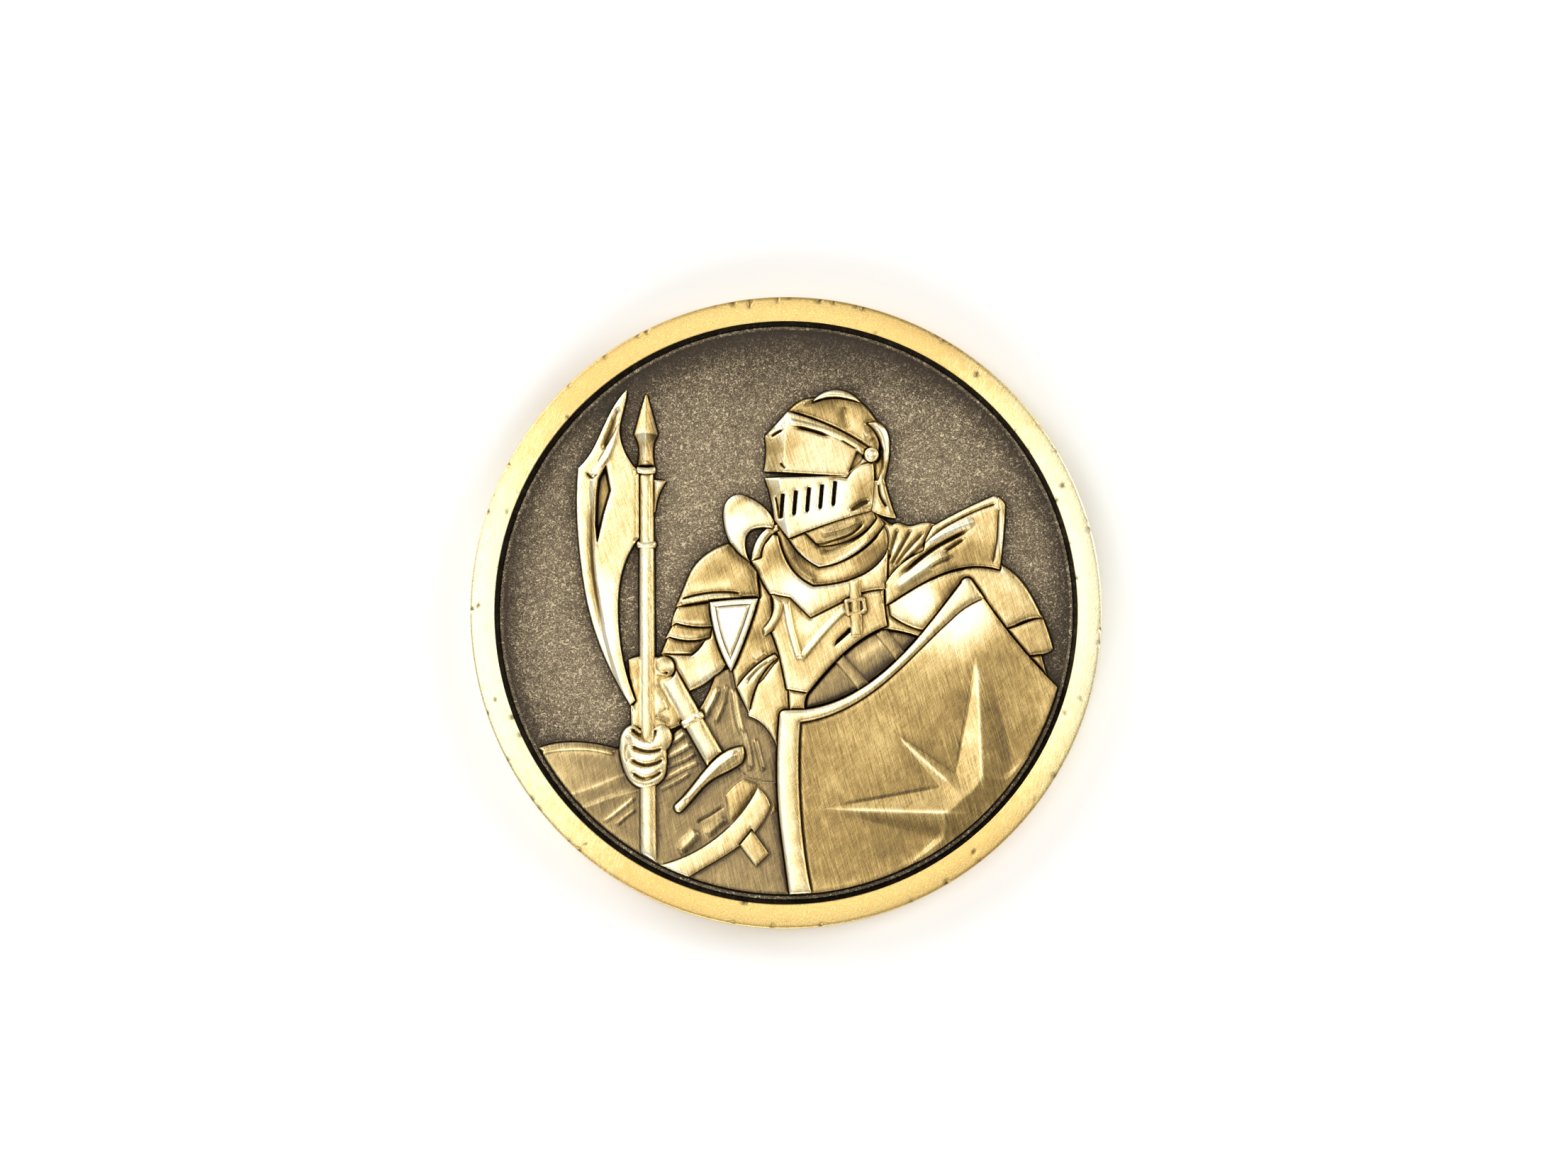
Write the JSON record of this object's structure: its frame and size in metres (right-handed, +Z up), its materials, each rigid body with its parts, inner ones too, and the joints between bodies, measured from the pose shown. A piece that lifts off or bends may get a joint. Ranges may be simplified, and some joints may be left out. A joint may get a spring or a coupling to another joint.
{
  "type": "challenge coin",
  "caption": "Round struck brass coin with raised rims, an armoured figure in relief on a dark grained field, and a wreath on the back.",
  "frame": {"origin": "centre of the coin's bottom face, which is the plane its reverse rim rests on", "axes": "+Z up through the obverse, +Y towards the top of the obverse design, +X to the right of the design"},
  "size_m": [0.0444, 0.0444, 0.003],
  "materials": {
    "rim": "polished on the lands, fine nicks and scratches",
    "relief": "antique brass, brushed high spots, dark patina in the recesses",
    "cloth_relief": "antique brass, darker patina, low relief",
    "field": "dark antique patina over a fine sandblast grain"
  },
  "bodies": {
    "root": {"arm_cuff_right": "relief", "arm_lame_lower": "relief", "arm_lame_middle": "relief", "arm_lame_upper": "relief", "axe_blade": "relief", "back_fluke": "relief", "belt_end": "relief", "besagew_left": "relief", "breastplate": "relief", "buckle_right": "relief", "centre_disc": "field", "cloak": "cloth_relief", "collar_left": "relief", "couter_left": "relief", "enarmes": "relief", "fauld_front": "relief", "fauld_left": "relief", "gauntlet": "relief", "gauntlet_cuff": "relief", "gorget_lower": "relief", "gorget_middle": "relief", "gorget_upper": "relief", "grip_ring": "relief", "haute_left": "relief", "haute_right": "relief", "helm_bevor": "relief", "helm_comb": "relief", "helm_neck_guard": "relief", "helm_skull": "relief", "helm_visor": "relief", "lame_right": "relief", "mail_collar": "relief", "pauldron_left": "relief", "pauldron_right": "relief", "plackart": "relief", "pole_collars": "relief", "pole_shaft": "relief", "rerebrace_right": "relief", "reverse_ring": "relief", "rim_ring": "rim", "scabbard": "relief", "shield_border": "relief", "shield_field": "relief", "shield_star": "relief", "side_plate": "relief", "spear_point": "relief", "strap_left": "relief", "strap_right": "relief", "sword_belt": "relief", "sword_grip": "relief", "sword_guard": "relief", "sword_pommel": "relief", "tabard": "cloth_relief", "tasset_left": "relief", "vambrace_right": "relief", "visor_pivot": "relief", "wreath_left": "relief", "wreath_right": "relief", "wreath_tie": "relief"}
  },
  "joints": []
}
